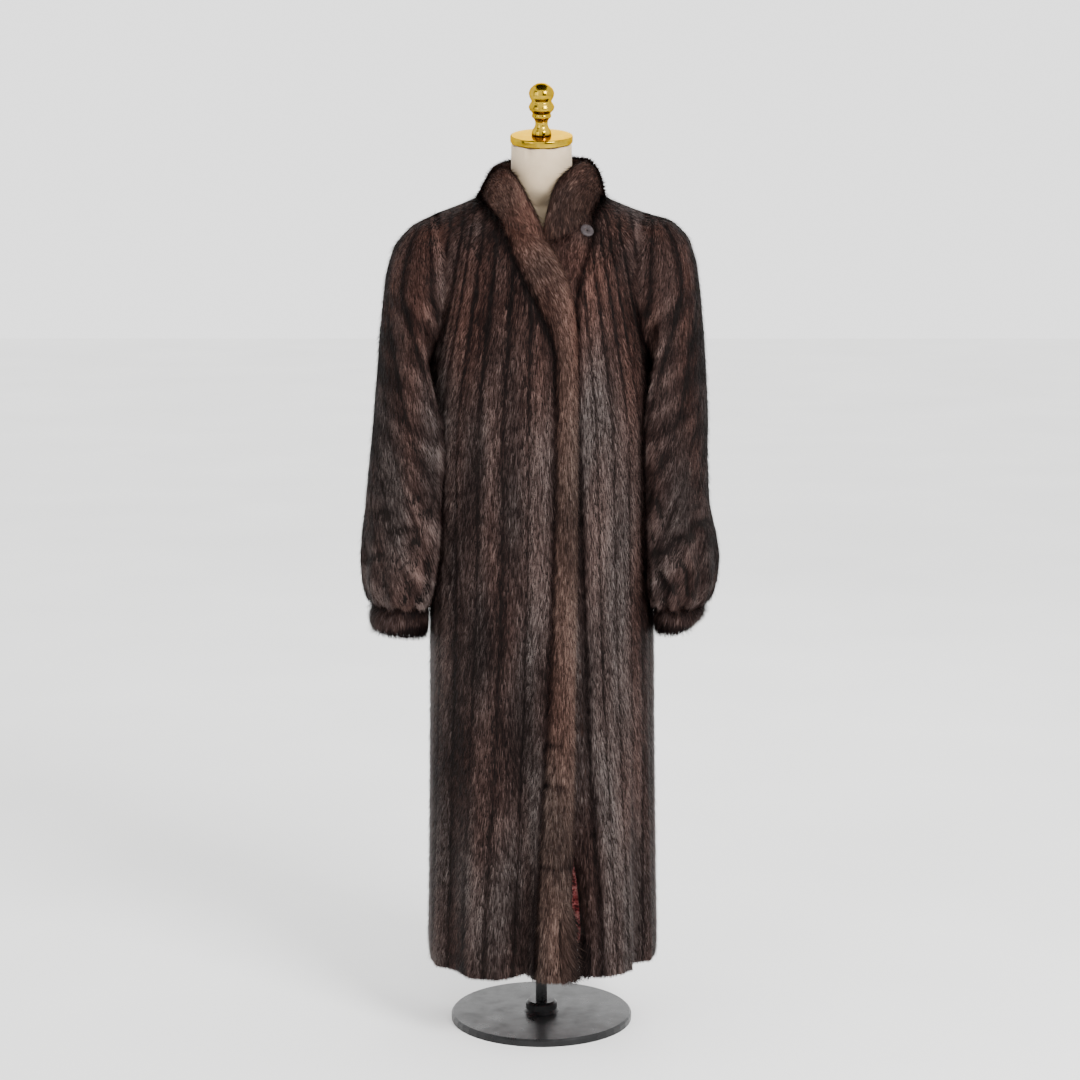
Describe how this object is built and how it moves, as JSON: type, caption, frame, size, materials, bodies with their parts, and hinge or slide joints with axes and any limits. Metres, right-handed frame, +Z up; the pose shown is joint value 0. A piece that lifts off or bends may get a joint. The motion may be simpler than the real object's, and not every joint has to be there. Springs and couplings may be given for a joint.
{
  "type": "fur coat on a dress form",
  "caption": "Full-length fur coat with a stand collar and full sleeves, hanging closed on a limbless dress form with a brass knob, a pole and a round foot.",
  "frame": {"origin": "middle of the stand's underside, on the floor", "axes": "+Z up along the pole, -Y towards the coat's front, +X towards the wearer's left"},
  "size_m": [0.5819, 0.3588, 1.5399],
  "materials": {
    "fur": "dark brown mink, let out in strips",
    "border_fur": "warm brown mink",
    "lining": "printed satin",
    "form_cloth": "cream jersey",
    "brass": "polished",
    "enamel": "black satin enamel",
    "horn": "pale grey, polished"
  },
  "bodies": {
    "root": {"front_right": "fur", "front_left": "fur", "back": "fur", "border_right": "border_fur", "border_left": "border_fur", "collar": "border_fur", "sleeve_right": "fur", "sleeve_left": "fur", "cuff_right": "border_fur", "cuff_left": "border_fur", "button": "horn", "lining": "lining", "form_body": "form_cloth", "neck_cap": "brass", "finial": "brass", "pole": "enamel", "base": "enamel"}
  },
  "joints": []
}
